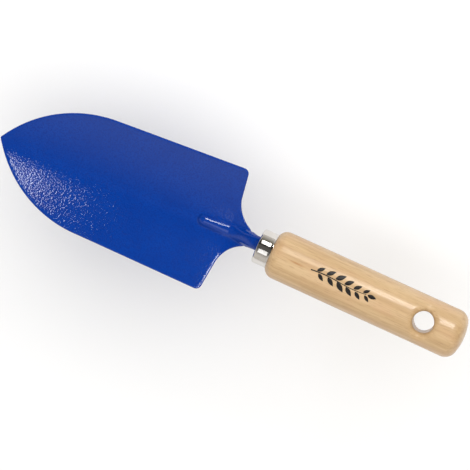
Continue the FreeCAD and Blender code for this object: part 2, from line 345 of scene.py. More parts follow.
def crest_rise(x):
    """How far the rib's crest lies over its nose at x: it falls a little, then climbs to the ferrule."""
    climb = RIB_CLIMB * np.clip((x - rib_nose_centre_x) / (neck_bend_x - rib_nose_centre_x), 0.0, 1.0)
    return climb + (neck_rise - RIB_CLIMB) * ease((x - neck_bend_x) / NECK_BEND_LENGTH)


def hollow_height(x, y):
    """Top of the dished sheet, without its rib."""
    across = np.hypot(y, KEEL_SOFTNESS) - KEEL_SOFTNESS
    sweep = np.maximum(0.0, (tip_x + TIP_RISE_LENGTH - x) / TIP_RISE_LENGTH) ** 2
    neck_share = LIFT_SHARE * ease((x - neck_bend_x) / NECK_BEND_LENGTH)
    lift = neck_share * neck_rise / (1.0 + (y / LIFT_HALF_WIDTH) ** 4)
    return -KEEL_DROP + TIP_RISE * sweep + KEEL_SLOPE * across + WING_CURVE * y * y + lift


def rib_height(x, y):
    """Top of the rib and the neck: a half-round ridge with a round nose, flatter towards the ferrule."""
    along = ease((x - rib_nose_centre_x) / -rib_nose_centre_x)
    radius = RIB_NOSE_RADIUS + (NECK_CREST_RADIUS - RIB_NOSE_RADIUS) * along
    off_crest = np.hypot(np.maximum(0.0, rib_nose_centre_x - x), y)
    on_arc = np.minimum(off_crest, radius * math.sin(math.radians(RIB_FLANK_ANGLE)))
    fall = radius - np.sqrt(radius * radius - on_arc * on_arc)
    fall = fall + (off_crest - on_arc) * math.tan(math.radians(RIB_FLANK_ANGLE))
    to_edge = np.minimum(2.0 * np.abs(y) / NECK_WIDTH, 2.0)
    leg = NECK_LEG * along * to_edge ** 6
    return -KEEL_DROP + RIB_HEIGHT + crest_rise(x) - fall - leg


def sheet_top(x, y):
    """Top of the whole pressing: whichever of the hollow and the rib is higher, filleted together."""
    hollow = hollow_height(x, y)
    rib = rib_height(x, y)
    return 0.5 * (hollow + rib + np.hypot(hollow - rib, RIB_FILLET))


def sheet_normal(x, y):
    """Unit normals of the top face."""
    step = SLOPE_STEP
    slope_x = (sheet_top(x + step, y) - sheet_top(x - step, y)) / (2.0 * step)
    slope_y = (sheet_top(x, y + step) - sheet_top(x, y - step)) / (2.0 * step)
    normal = np.stack([-slope_x, -slope_y, np.ones_like(slope_x)], 1)
    return normal / np.linalg.norm(normal, axis=1)[:, None]


def middle_of_sheet(plan):
    """The points half-way through the sheet that lie over these plan points, and the normals there."""
    half = SHEET_THICKNESS / 2.0
    on_top = plan.copy()
    for _ in range(OFFSET_PASSES):
        normal = sheet_normal(on_top[:, 0], on_top[:, 1])
        on_top = plan + normal[:, :2] * half
    normal = sheet_normal(on_top[:, 0], on_top[:, 1])
    top = np.column_stack([on_top, sheet_top(on_top[:, 0], on_top[:, 1])])
    return top - normal * half, normal


# ---------------- blade: the outline

def front_edge(side):
    """Points of the curved edge from the tip to the shoulder, both included."""
    tip = np.array([tip_x, 0.0])
    shoulder = np.array([tip_x + SHOULDER_FROM_TIP, side * SHOULDER_HALF_WIDTH])
    flare = math.radians(SIDE_FLARE)
    inward = np.array([math.sin(flare), -side * math.cos(flare)])
    chord = tip - shoulder
    radius = chord.dot(chord) / (2.0 * chord.dot(inward))
    centre = shoulder + inward * radius
    start = math.atan2(*(tip - centre)[::-1])
    end = math.atan2(*(shoulder - centre)[::-1])
    turn = (end - start + math.pi) % (2.0 * math.pi) - math.pi
    steps = math.ceil(abs(turn) * radius / OUTLINE_STEP)
    angles = start + turn * np.arange(steps + 1) / steps
    return np.stack([centre[0] + radius * np.cos(angles), centre[1] + radius * np.sin(angles)], 1)


def rounded_corner(before, corner, after, radius):
    """Points of the arc that rounds off a corner."""
    to_before = (before - corner) / np.linalg.norm(before - corner)
    to_after = (after - corner) / np.linalg.norm(after - corner)
    half_angle = 0.5 * math.acos(np.clip(to_before.dot(to_after), -1.0, 1.0))
    middle = (to_before + to_after) / np.linalg.norm(to_before + to_after)
    centre = corner + middle * radius / math.sin(half_angle)
    start = corner + to_before * radius / math.tan(half_angle) - centre
    end = corner + to_after * radius / math.tan(half_angle) - centre
    turn = math.pi - 2.0 * half_angle
    steps = max(LEAST_ARC_STEPS, math.ceil(turn * radius / OUTLINE_STEP))
    shares = np.arange(steps + 1) / steps
    weights = np.stack([np.sin((1.0 - shares) * turn), np.sin(shares * turn)], 1) / math.sin(turn)
    return centre + weights @ np.stack([start, end])


def half_outline(side):
    """One half of the outline, from the shoulder to the middle of the tang's end."""
    neck_half = NECK_WIDTH / 2.0
    straight = BLADE_LENGTH - SHOULDER_FROM_TIP
    corner_half = SHOULDER_HALF_WIDTH + straight * math.tan(math.radians(SIDE_FLARE))
    skew = side * math.tan(math.radians(REAR_EDGE_SKEW))
    corner_x = rear_corner_x + corner_half * skew
    lean = math.tan(math.radians(REAR_EDGE_LEAN))
    inner_x = rear_corner_x + (corner_half - neck_half) * lean + neck_half * skew
    corners = [
        (tip_x + SHOULDER_FROM_TIP, side * SHOULDER_HALF_WIDTH, 0.0),
        (corner_x, side * corner_half, REAR_CORNER_ROUND),
        (inner_x, side * neck_half, NECK_FILLET),
        (TANG_FULL_WIDTH_LENGTH, side * neck_half, 0.0),
        (TANG_LENGTH, side * TANG_END_WIDTH / 2.0, TANG_END_ROUND),
        (TANG_LENGTH, 0.0, 0.0),
    ]
    places = [np.array(c[:2]) for c in corners]
    points = [places[0]]
    for i in range(1, len(corners)):
        radius = corners[i][2]
        if radius > 0.0:
            points.extend(rounded_corner(places[i - 1], places[i], places[i + 1], radius))
        else:
            points.append(places[i])
    return points


def evenly_filled(points):
    """The same line with points added where they lie further apart than the outline's step."""
    filled = []
    for a, b in zip(points, points[1:]):
        steps = max(1, math.ceil(np.linalg.norm(b - a) / OUTLINE_STEP))
        filled.extend(a + (b - a) * i / steps for i in range(steps))
    return filled


def blade_outline():
    """The whole outline, anticlockwise from the tip, without its first point repeated."""
    upper = front_edge(1)
    lower = front_edge(-1)
    tip = rounded_corner(upper[1], upper[0], lower[1], TIP_ROUND)
    right = list(lower[1:-1]) + half_outline(-1)
    left = list(upper[1:-1]) + half_outline(1)
    loop = list(tip) + right + left[::-1][1:]
    return np.array(evenly_filled(loop + [loop[0]]))


def inset(outline, distance):
    """The outline moved inwards, and the unit directions that point out of it."""
    along = np.roll(outline, -1, 0) - np.roll(outline, 1, 0)
    along = along / np.linalg.norm(along, axis=1)[:, None]
    outward = np.stack([along[:, 1], -along[:, 0]], 1)
    return outline - outward * distance, outward


def staggered_grid(low, high, step):
    """Points of a triangular grid that covers a box."""
    rows = np.arange(low[1], high[1] + step, step * math.sqrt(0.75))
    points = []
    for number, y in enumerate(rows):
        start = low[0] + (number % 2) * step / 2.0
        xs = np.arange(start, high[0] + step, step)
        points.append(np.stack([xs, np.full(len(xs), y)], 1))
    return np.vstack(points)


def distance_inside(points, outline):
    """How far each point lies inside the outline; negative outside."""
    starts = outline
    ends = np.roll(outline, -1, 0)
    run = ends - starts
    length_squared = (run * run).sum(1)
    nearest = np.full(len(points), np.inf)
    crossings = np.zeros(len(points), int)
    for a, b, d, size in zip(starts, ends, run, length_squared):
        t = np.clip(((points - a) @ d) / size, 0.0, 1.0)
        nearest = np.minimum(nearest, np.linalg.norm(points - a - t[:, None] * d, axis=1))
        spans = (a[1] > points[:, 1]) != (b[1] > points[:, 1])
        if a[1] != b[1]:
            at = a[0] + (points[:, 1] - a[1]) * (b[0] - a[0]) / (b[1] - a[1])
            crossings += spans & (points[:, 0] < at)
    return np.where(crossings % 2 == 1, nearest, -nearest)


def inner_points(border):
    """Grid points inside the sheet's border, finer over the rib and the neck."""
    low = border.min(0)
    high = border.max(0)
    coarse = staggered_grid(low, high, GRID_STEP)
    rib_start = -RIB_NOSE_TO_FERRULE - RIB_GRID_HALF_WIDTH
    on_rib = (coarse[:, 0] > rib_start) & (np.abs(coarse[:, 1]) < RIB_GRID_HALF_WIDTH)
    coarse = coarse[~on_rib]
    box_low = np.array([rib_start, -RIB_GRID_HALF_WIDTH])
    box_high = np.array([high[0], RIB_GRID_HALF_WIDTH])
    fine = staggered_grid(box_low, box_high, RIB_GRID_STEP)
    coarse = coarse[distance_inside(coarse, border) > GRID_MARGIN * GRID_STEP]
    fine = fine[distance_inside(fine, border) > RIB_GRID_MARGIN * RIB_GRID_STEP]
    return np.vstack([coarse, fine])


def make_blade():
    """The blade with its rib, neck and tang, as one closed sheet with a rounded edge."""
    half = SHEET_THICKNESS / 2.0
    outline = blade_outline()
    border, outward = inset(outline, half)
    inner = inner_points(border)
    plan = np.vstack([border, inner])
    count = len(border)
    loop = [(i, (i + 1) % count) for i in range(count)]
    inside_only = 1
    filled = delaunay_2d_cdt([Vector(p) for p in plan], loop, [], inside_only, MERGE_DISTANCE)
    triangles = [tuple(t) for t in filled[2]]
    middle, normal = middle_of_sheet(plan)
    top = middle + normal * half
    bottom = middle - normal * half

    # the edge runs round from the top's border to the bottom's, square to the sheet
    out = np.column_stack([outward, np.zeros(count)])
    out = out - normal[:count] * (out * normal[:count]).sum(1)[:, None]
    out = out / np.linalg.norm(out, axis=1)[:, None]
    power = 2.0 / RIM_SQUARENESS
    rim_rings = []
    for i in range(1, RIM_STEPS):
        angle = math.radians(90.0 - 180.0 * i / RIM_STEPS)
        side = half * abs(math.cos(angle)) ** power
        up = math.copysign(half * abs(math.sin(angle)) ** power, math.sin(angle))
        rim_rings.append(middle[:count] + out * side + normal[:count] * up)
    points = np.vstack([top, bottom] + rim_rings)
    faces = [t if is_anticlockwise(plan, t) else t[::-1] for t in triangles]
    size = len(plan)
    faces += [(c + size, b + size, a + size) for a, b, c in faces]
    starts = [0] + [2 * size + i * count for i in range(RIM_STEPS - 1)] + [size]
    for upper, lower in zip(starts, starts[1:]):
        faces += [(upper + i, lower + i, lower + j, upper + j) for i, j in loop]

    # yaw about a point of the neck, then on to the ferrule
    pivot = np.array([-YAW_PIVOT_TO_FERRULE, 0.0, 0.0])
    turn = np.array(Matrix.Rotation(math.radians(BLADE_YAW), 3, "Z"))
    points = (points - pivot) @ turn.T + pivot
    points[:, 0] += ferrule_front_x
    made = make_object("blade_pressing", points, faces, "blade")

    # how smooth the paint lies: wholly on the rib and the neck, partly towards the rear
    over = rib_height(plan[:, 0], plan[:, 1]) - hollow_height(plan[:, 0], plan[:, 1])
    settled = REAR_SMOOTHNESS * ease((plan[:, 0] - PEEL_FADE_START) / PEEL_FADE_LENGTH)
    on_face = np.maximum(ease(over / RIB_FILLET + 1.0), settled)
    smooth = np.concatenate([on_face, on_face] + [on_face[:count]] * (RIM_STEPS - 1))
    made.data.attributes.new("smooth_paint", "FLOAT", "POINT").data.foreach_set("value", smooth)
    return made


def is_anticlockwise(plan, triangle):
    """Whether a triangle of plan points runs anticlockwise, seen from above."""
    a, b, c = (plan[i] for i in triangle)
    return (b[0] - a[0]) * (c[1] - a[1]) - (b[1] - a[1]) * (c[0] - a[0]) > 0.0


# ---------------- ferrule

def make_ferrule():
    """A drawn cup with a rounded lip, and a rim that flares out over the wood."""
    outer = FERRULE_DIAMETER / 2.0
    inner = outer - FERRULE_WALL
    mouth = FERRULE_MOUTH_DIAMETER / 2.0
    front = ferrule_front_x
    back = shoulder_x
    flared = outer + FERRULE_FLARE
    flare_start = back - FERRULE_FLARE_LENGTH
    shares = np.linspace(0.0, 1.0, FERRULE_FLARE_ROWS + 1)
    flare_run = FERRULE_FLARE_LENGTH - FERRULE_RIM_ROUND
    flare = [(flare_start + flare_run * s, outer + FERRULE_FLARE * float(ease(s))) for s in shares]
    profile = arc(front + FERRULE_MOUTH_ROUND, mouth + FERRULE_MOUTH_ROUND, FERRULE_MOUTH_ROUND,
                  270.0, 180.0, FERRULE_RIM_STEPS)
    profile += arc(front + FERRULE_LIP_ROUND, outer - FERRULE_LIP_ROUND, FERRULE_LIP_ROUND,
                   180.0, 90.0, FERRULE_LIP_STEPS)
    body_start = front + FERRULE_LIP_ROUND
    profile += [(body_start + (flare_start - body_start) * i / FERRULE_BODY_ROWS, outer)
                for i in range(1, FERRULE_BODY_ROWS)]
    profile += flare
    profile += arc(back - FERRULE_RIM_ROUND, flared - FERRULE_RIM_ROUND, FERRULE_RIM_ROUND,
                   FERRULE_RIM_LEAN, 0.0, FERRULE_RIM_STEPS)
    profile += [(back, inner), (front + FERRULE_WALL, inner), (front + FERRULE_WALL, mouth)]
    points = turned_points(profile, FERRULE_SEGMENTS)
    faces = []
    rings = len(profile)
    for i in range(rings):
        first = i * FERRULE_SEGMENTS
        second = ((i + 1) % rings) * FERRULE_SEGMENTS
        faces += ring_faces(first, second, FERRULE_SEGMENTS)
    made = make_object("ferrule_cup", points, faces, "ferrule")
    made.data.set_sharp_from_angle(angle=math.radians(FERRULE_SHARP_ANGLE))
    return made


# ---------------- handle

def handle_radius(x):
    """Radius of the turned wood between its rounded ends."""
    front = shoulder_x + SHOULDER_ROUND
    end = handle_end_x - END_ROUND
    share = (x - front) / (end - front)
    return (HANDLE_FRONT_DIAMETER + (HANDLE_END_DIAMETER - HANDLE_FRONT_DIAMETER) * share) / 2.0


def shoulder_profile():
    """From the front face of the hidden spigot up to the full thickness of the wood."""
    spigot = FERRULE_DIAMETER / 2.0 - FERRULE_WALL
    front = ferrule_front_x + FERRULE_WALL
    ledge = FERRULE_DIAMETER / 2.0 + FERRULE_FLARE + SHOULDER_LEDGE
    centre_r = HANDLE_FRONT_DIAMETER / 2.0 - SHOULDER_ROUND
    lean = math.degrees(math.asin((ledge - centre_r) / SHOULDER_ROUND))
    centre_x = shoulder_x + SHOULDER_ROUND * math.cos(math.radians(lean))
    spigot_rows = [(front, spigot * 0.5), (front, spigot), (shoulder_x, spigot)]
    return spigot_rows + arc(centre_x, centre_r, SHOULDER_ROUND, 180.0 - lean, 90.0,
                             HANDLE_ROUND_STEPS)


def end_profile():
    """From the full thickness of the wood round to the last ring of the domed end."""
    dome_centre_x = handle_end_x - END_DOME_RADIUS
    corner_r = HANDLE_END_DIAMETER / 2.0 - END_ROUND
    corner_x = dome_centre_x + math.sqrt((END_DOME_RADIUS - END_ROUND) ** 2 - corner_r ** 2)
    lean = math.degrees(math.atan2(corner_r, corner_x - dome_centre_x))
    corner = arc(corner_x, corner_r, END_ROUND, 90.0, lean, HANDLE_ROUND_STEPS)
    dome = arc(dome_centre_x, 0.0, END_DOME_RADIUS, lean, DOME_LAST_LEAN, DOME_STEPS)
    return corner + dome[1:]


def mouth_point(angle, side, share):
    """A point of the hole's rounded mouth: share 0 is on the bore's wall, 1 on the handle's outside."""
    reach = HOLE_DIAMETER / 2.0 + HOLE_MOUTH_ROUND
    x = reach * math.cos(angle)
    y = reach * math.sin(angle)
    inside = handle_radius(x) - HOLE_MOUTH_ROUND
    centre = Vector((x, y, side * math.sqrt(inside * inside - y * y)))
    to_wall = Vector((-math.cos(angle), -math.sin(angle), 0.0))
    to_outside = Vector((0.0, y, centre.z)).normalized()
    return centre + to_wall.slerp(to_outside, share) * HOLE_MOUTH_ROUND


def patch_border():
    """Places (x, angle) round one half of the drilled stretch, with the corner first."""
    half = HOLE_PATCH_HALF_LENGTH
    rows = HANDLE_SEGMENTS // 2
    columns = HOLE_PATCH_COLUMNS
    quarter = math.pi / 2.0
    border = [(half, -quarter + math.pi * i / rows) for i in range(rows)]
    border += [(half - 2.0 * half * i / columns, quarter) for i in range(columns)]
    border += [(-half, quarter - math.pi * i / rows) for i in range(rows)]
    border += [(-half + 2.0 * half * i / columns, -quarter) for i in range(columns)]
    return border


def on_handle(x, angle, side):
    """A point of the handle's outside; the angle is measured from straight up, or down where side is -1."""
    radius = handle_radius(x)
    return (x, radius * math.sin(angle), side * radius * math.cos(angle))


def drilled_stretch():
    """Points and faces of the handle round the hang hole, with its mouths and its bore."""
    points = []
    faces = []
    border = patch_border()
    count = len(border)
    scale = handle_radius(0.0)
    turns = [math.atan2(scale * angle, x) for x, angle in border]
    wall_starts = []
    for side in (1, -1):
        start = len(points)
        for ring in range(HOLE_PATCH_RINGS + 1):
            share = ring / HOLE_PATCH_RINGS
            for (x, angle), turn in zip(border, turns):
                mouth = mouth_point(turn, side, 1.0)
                mouth_angle = math.atan2(mouth.y, side * mouth.z)
                at_x = x + (mouth.x - x) * share
                at_angle = angle + (mouth_angle - angle) * share
                points.append(on_handle(at_x, at_angle, side))
        for ring in range(1, MOUTH_RINGS + 1):
            for turn in turns:
                points.append(tuple(mouth_point(turn, side, 1.0 - ring / MOUTH_RINGS)))
        rings = HOLE_PATCH_RINGS + MOUTH_RINGS
        for ring in range(rings):
            first = start + ring * count
            second = first + count
            if side > 0:
                faces += ring_faces(second, first, count)
            else:
                faces += ring_faces(first, second, count)
        wall_starts.append(start + rings * count)
    upper, lower = wall_starts
    previous = upper
    for ring in range(1, BORE_RINGS):
        start = len(points)
        for i in range(count):
            a = points[upper + i]
            b = points[lower + i]
            share = ring / BORE_RINGS
            points.append((a[0], a[1], a[2] + (b[2] - a[2]) * share))
        faces += ring_faces(start, previous, count)
        previous = start
    faces += ring_faces(lower, previous, count)
    return points, faces


def turned_stretch(profile):
    """Points and faces of a turned length of the handle, open at both ends."""
    points = [tuple(p) for p in turned_points(profile, HANDLE_SEGMENTS)]
    faces = []
    for i in range(len(profile) - 1):
        faces += ring_faces((i + 1) * HANDLE_SEGMENTS, i * HANDLE_SEGMENTS, HANDLE_SEGMENTS)
    return points, faces


def make_handle():
    """The turned wood with its spigot, its rounded ends and its hang hole, as one closed mesh."""
    shoulder = shoulder_profile()
    end = end_profile()
    half = HOLE_PATCH_HALF_LENGTH
    rows = HANDLE_FRONT_ROWS
    front_start = shoulder[-1][0]
    front_run = -half - front_start
    straight = [front_start + front_run * i / rows for i in range(1, rows)]
    front = shoulder + [(x, handle_radius(x)) for x in straight] + [(-half, handle_radius(-half))]
    back = [(half, handle_radius(half))] + end
    points = []
    faces = []
    for stretch_points, stretch_faces in (turned_stretch(front), turned_stretch(back), drilled_stretch()):
        start = len(points)
        points += stretch_points
        faces += [tuple(start + i for i in face) for face in stretch_faces]
    front_cap = len(points)
    points.append((front[0][0], 0.0, 0.0))
    end_cap = len(points)
    points.append((handle_end_x, 0.0, 0.0))
    last_ring = (len(front) + len(back) - 1) * HANDLE_SEGMENTS
    for i in range(HANDLE_SEGMENTS):
        j = (i + 1) % HANDLE_SEGMENTS
        faces.append((front_cap, i, j))
        faces.append((last_ring + i, end_cap, last_ring + j))
    made = make_object("handle_wood", points, faces, "handle")
    weld(made, HANDLE_WELD * MM)
    made.data.set_sharp_from_angle(angle=math.radians(HANDLE_SHARP_ANGLE))
    return made


def weld(made, distance):
    """Joins points that lie on each other, and turns the faces outwards."""
    work = bmesh.new()
    work.from_mesh(made.data)
    bmesh.ops.remove_doubles(work, verts=work.verts, dist=distance)
    bmesh.ops.recalc_face_normals(work, faces=work.faces)
    work.to_mesh(made.data)
    work.free()


# ---------------- printed sprig

def on_print(along, across, height):
    """A point over the wood: along the handle, round it from straight up, and above its surface."""
    radius = handle_radius(along)
    raised = radius + height
    angle = across / radius + SPRIG_ACROSS / radius
    return (along, raised * math.sin(angle), raised * math.cos(angle))


def leaf_outline(length, width):
    """Even steps along a pointed leaf, and its half widths there."""
    shares = np.linspace(0.0, 1.0, LEAF_STEPS + 1)
    return shares * length, width / 2.0 * np.sin(math.pi * shares ** LEAF_BELLY) ** LEAF_FULLNESS


def add_strip(points, faces, centre, half_widths, lean):
    """Adds one closed ink shape along a centre line, from (along, across) places and half widths."""
    columns = INK_COLUMNS
    start = len(points)
    rows = len(centre)
    for layer in (INK_HEIGHT, -INK_DEPTH):
        for (along, across), half in zip(centre, half_widths):
            for c in range(columns + 1):
                off = half * (2.0 * c / columns - 1.0)
                at = along - off * math.sin(lean)
                points.append(on_print(at, across + off * math.cos(lean), layer))
    per_row = columns + 1
    low = rows * per_row     # from a point of the upper layer to the one under it
    for r in range(rows - 1):
        for c in range(columns):
            a = start + r * per_row + c
            b = a + per_row
            faces.append((a, b, b + 1, a + 1))
            faces.append((a + low, a + low + 1, b + low + 1, b + low))
    rim = [start + c for c in range(per_row)]
    rim += [start + r * per_row + columns for r in range(1, rows)]
    rim += [start + (rows - 1) * per_row + c for c in range(columns - 1, -1, -1)]
    rim += [start + r * per_row for r in range(rows - 2, 0, -1)]
    for a, b in zip(rim, rim[1:] + rim[:1]):
        faces.append((a, b, b + low, a + low))


def add_leaf(points, faces, foot, lean, length, width):
    """Adds a pointed leaf that grows from its foot at an angle to the stem."""
    reach, halves = leaf_outline(length, width)
    halves = np.maximum(halves, INK_LEAST)
    centre = [(foot[0] + r * math.cos(lean), foot[1] + r * math.sin(lean)) for r in reach]
    add_strip(points, faces, centre, halves, lean)


def make_sprig():
    """A sprig of paired leaves in black ink, along the top of the handle."""
    points = []
    faces = []
    shares = np.linspace(0.0, 1.0, STEM_ROWS + 1)
    stem = [(SPRIG_START + SPRIG_LENGTH * s, SPRIG_SWAY * math.sin(2.0 * math.pi * s)) for s in shares]
    stem_halves = STEM_WIDTH / 2.0 * (1.0 - STEM_TAPER * shares)
    add_strip(points, faces, stem, stem_halves, 0.0)
    for i in range(LEAF_PAIRS):
        share = (i + FIRST_PAIR) / LEAF_PAIRS
        place = (SPRIG_START + SPRIG_LENGTH * share, SPRIG_SWAY * math.sin(2.0 * math.pi * share))
        size = 1.0 - LEAF_SHRINK * abs(2.0 * share - 2.0 * LARGEST_PAIR)
        for side in (1, -1):
            stagger = (0.5 - 0.5 * side) * LEAF_STAGGER
            foot = (place[0] + stagger, place[1] + side * STEM_WIDTH * LEAF_FOOT)
            lean = side * math.radians(LEAF_LEAN)
            add_leaf(points, faces, foot, lean, LEAF_LENGTH * size, LEAF_WIDTH * size)
    tip = (SPRIG_START + SPRIG_LENGTH + STEM_WIDTH, 0.0)
    add_leaf(points, faces, tip, 0.0, LEAF_LENGTH * TIP_LEAF, LEAF_WIDTH * TIP_LEAF)
    made = make_object("sprig_print", points, faces, None)
    weld(made, INK_WELD * MM)
    return made


# ---------------- materials

class Shader:
    """A material's node tree, with short ways to add what the finishes here are made of."""

    def __init__(self, name):
        self.material = bpy.data.materials.new(name)
        self.material.use_nodes = True
        self.nodes = self.material.node_tree.nodes
        self.links = self.material.node_tree.links
        self.surface = self.nodes["Principled BSDF"]
        self.place = self.nodes.new("ShaderNodeTexCoord").outputs["Object"]

    def scaled(self, scale):
        """The piece's own place in the row frame, with each axis at its own scale."""
        mapping = self.nodes.new("ShaderNodeMapping")
        mapping.inputs["Scale"].default_value = scale
        self.links.new(self.place, mapping.inputs["Vector"])
        return mapping.outputs["Vector"]

    def noise(self, place, scale, detail=2.0, roughness=0.5, distortion=0.0):
        """Soft noise, with about this many lumps to each unit of the place."""
        node = self.nodes.new("ShaderNodeTexNoise")
        node.inputs["Scale"].default_value = scale
        node.inputs["Detail"].default_value = detail
        node.inputs["Roughness"].default_value = roughness
        node.inputs["Distortion"].default_value = distortion
        self.links.new(place, node.inputs["Vector"])
        return node.outputs["Fac"]

    def ramp(self, value, stops):
        """Maps a value to a colour through (position, colour) stops."""
        node = self.nodes.new("ShaderNodeValToRGB")
        elements = node.color_ramp.elements
        while len(elements) < len(stops):
            elements.new(0.5)
        for element, (position, colour) in zip(elements, stops):
            element.position = position
            element.color = (*colour, 1.0)
        self.links.new(value, node.inputs["Fac"])
        return node.outputs["Color"]

    def spread(self, value, low, high, to_low, to_high):
        """Maps a value from one range to another."""
        node = self.nodes.new("ShaderNodeMapRange")
        node.inputs["From Min"].default_value = low
        node.inputs["From Max"].default_value = high
        node.inputs["To Min"].default_value = to_low
        node.inputs["To Max"].default_value = to_high
        self.links.new(value, node.inputs["Value"])
        return node.outputs["Result"]

    def mix(self, share, first, second):
        """Mixes two colours; the share and each colour may be a socket or a constant."""
        node = self.nodes.new("ShaderNodeMix")
        node.data_type = "RGBA"
        colours = [socket for socket in node.inputs if socket.type == "RGBA"]
        self.give(node.inputs[0], share)
        self.give(colours[0], first)
        self.give(colours[1], second)
        return next(socket for socket in node.outputs if socket.type == "RGBA")

    def give(self, socket, value):
        """Links a socket to an input, or sets the input to a colour or a number."""
        if isinstance(value, bpy.types.NodeSocket):
            self.links.new(value, socket)
        elif isinstance(value, tuple):
            socket.default_value = (*value, 1.0)
        else:
            socket.default_value = value

    def maths(self, operation, first, second):
        """Joins two values, each a socket or a number, by this operation."""
        node = self.nodes.new("ShaderNodeMath")
        node.operation = operation
        self.give(node.inputs[0], first)
        self.give(node.inputs[1], second)
        return node.outputs["Value"]

    def painted(self, name):
        """A value stored on the mesh."""
        node = self.nodes.new("ShaderNodeAttribute")
        node.attribute_name = name
        return node.outputs["Fac"]

    def mark(self, centre, size, wander):
        """1 in the middle of an oval mark, 0 outside it; centre and half size in millimetres."""
        mapping = self.nodes.new("ShaderNodeMapping")
        mapping.inputs["Location"].default_value = [-c / s for c, s in zip(centre, size)]
        mapping.inputs["Scale"].default_value = [1.0 / (s * MM) for s in size]
        self.links.new(self.place, mapping.inputs["Vector"])
        length = self.nodes.new("ShaderNodeVectorMath")
        length.operation = "LENGTH"
        self.links.new(mapping.outputs["Vector"], length.inputs[0])
        wavy = self.maths("ADD", length.outputs["Value"], wander)
        return self.spread(wavy, 1.0, 0.2, 0.0, 1.0)

    def bump(self, height, depth, before=None, strength=1.0):
        """Raises the surface by depth millimetres where height is 1."""
        node = self.nodes.new("ShaderNodeBump")
        self.give(node.inputs["Strength"], strength)
        node.inputs["Distance"].default_value = depth * MM
        self.links.new(height, node.inputs["Height"])
        if before:
            self.links.new(before, node.inputs["Normal"])
        return node.outputs["Normal"]

    def set(self, **values):
        """Sets sockets of the surface by name, with _ for a space."""
        for name, value in values.items():
            self.give(self.surface.inputs[name.replace("_", " ")], value)


def powder_coat():
    """Blue powder coat on steel: an orange peel that lies smooth on the rib and settles to the rear, with
    painted shade in its low spots.
    """
    shader = Shader("blue_powder_coat_finish")
    peel = shader.noise(shader.place, PEEL_SCALE, detail=1.0, roughness=0.4)
    mottle = shader.noise(shader.place, MOTTLE_SCALE, detail=4.0, roughness=0.6)
    colour = shader.ramp(mottle, [(NOISE_LOW, DEEP_BLUE), (NOISE_HIGH, CLEAR_BLUE)])
    # painted shade: where the peel's bump is low, the colour turns to a darker blue
    pit_shade = shader.spread(peel, 0.35, 0.55, 0.0, 1.0)
    colour = shader.mix(pit_shade, PIT_SHADE_BLUE, colour)
    peel_share = shader.spread(shader.painted("smooth_paint"), 0.0, 1.0, 1.0, PEEL_LEAST)
    normal = shader.bump(peel, PEEL_DEPTH, strength=peel_share)
    roughness = shader.spread(peel, NOISE_LOW, NOISE_HIGH, *PAINT_ROUGHNESS)
    shader.set(Base_Color=colour, Roughness=roughness, Normal=normal, IOR=1.48)
    return shader.material


def bright_plating():
    """Nickel plating over a drawn cup: a mirror with faint lines round it and soft waves in it."""
    shader = Shader("bright_plating_finish")
    lines = shader.noise(shader.scaled(DRAW_LINES_SCALE), 1.0, detail=3.0, roughness=0.6)
    waves = shader.noise(shader.place, PLATING_WAVE_SCALE, detail=2.0)
    tint = shader.ramp(waves, [(NOISE_LOW, PLATING_DARK), (NOISE_HIGH, PLATING_LIGHT)])
    normal = shader.bump(waves, PLATING_WAVE_DEPTH)
    normal = shader.bump(lines, DRAW_LINES_DEPTH, before=normal)
    roughness = shader.spread(lines, NOISE_LOW, NOISE_HIGH, *PLATING_ROUGHNESS)
    shader.set(Base_Color=tint, Metallic=1.0, Roughness=roughness, Normal=normal)
    return shader.material


def lacquered_wood():
    """Pale close-grained hardwood under clear lacquer: long streaks, short flecks and one brown mark."""
    shader = Shader("lacquered_wood_finish")
    bands = shader.noise(shader.scaled(BAND_SCALE), 1.0, detail=3.0, roughness=0.55, distortion=0.4)
    streaks = shader.noise(shader.scaled(STREAK_SCALE), 1.0, detail=3.0, roughness=0.6, distortion=0.3)
    flecks = shader.noise(shader.scaled(FLECK_SCALE), 1.0, detail=2.0, roughness=0.5)
    patches = shader.noise(shader.scaled(PATCH_SCALE), 1.0, detail=2.0)
    shades = [(NOISE_LOW, WOOD_DARK), (0.5, WOOD_MIDDLE), (NOISE_HIGH, WOOD_LIGHT)]
    colour = shader.ramp(bands, shades)
    colour = shader.mix(shader.spread(streaks, 0.52, 0.30, 0.0, 0.55), colour, DARK_STREAK)
    colour = shader.mix(shader.spread(streaks, 0.54, 0.72, 0.0, 0.5), colour, LIGHT_STREAK)
    colour = shader.mix(shader.spread(flecks, 0.55, 0.70, 0.0, 0.65), colour, FLECK_BROWN)
    colour = shader.mix(shader.spread(patches, 0.50, 0.75, 0.0, 0.45), colour, PINK_BROWN)
    wander = shader.spread(streaks, NOISE_LOW, NOISE_HIGH, -0.3, 0.5)
    mark = shader.mark(BROWN_MARK_CENTRE, BROWN_MARK_SIZE, wander)
    colour = shader.mix(shader.maths("MULTIPLY", mark, MARK_STRENGTH), colour, MARK_BROWN)
    grain = shader.maths("ADD", streaks, flecks)
    normal = shader.bump(grain, GRAIN_DEPTH)
    roughness = shader.spread(streaks, NOISE_LOW, NOISE_HIGH, *WOOD_ROUGHNESS)
    shader.set(Base_Color=colour, Roughness=roughness, Normal=normal)
    shader.set(Coat_Weight=0.36, Coat_Roughness=0.17, Coat_IOR=1.5, Specular_IOR_Level=0.3)
    return shader.material


def printing_ink():
    """Black pad-printed ink, thin enough that the grain breaks it up a little."""
    shader = Shader("printing_ink_finish")
    grain = shader.noise(shader.scaled(INK_GRAIN_SCALE), 1.0, detail=2.0)
    colour = shader.ramp(grain, [(0.35, INK_BLACK), (0.72, INK_THIN)])
    normal = shader.bump(grain, INK_GRAIN_DEPTH)
    roughness = shader.spread(grain, NOISE_LOW, NOISE_HIGH, *INK_ROUGHNESS)
    shader.set(Base_Color=colour, Roughness=roughness, Normal=normal, Specular_IOR_Level=0.3)
    return shader.material


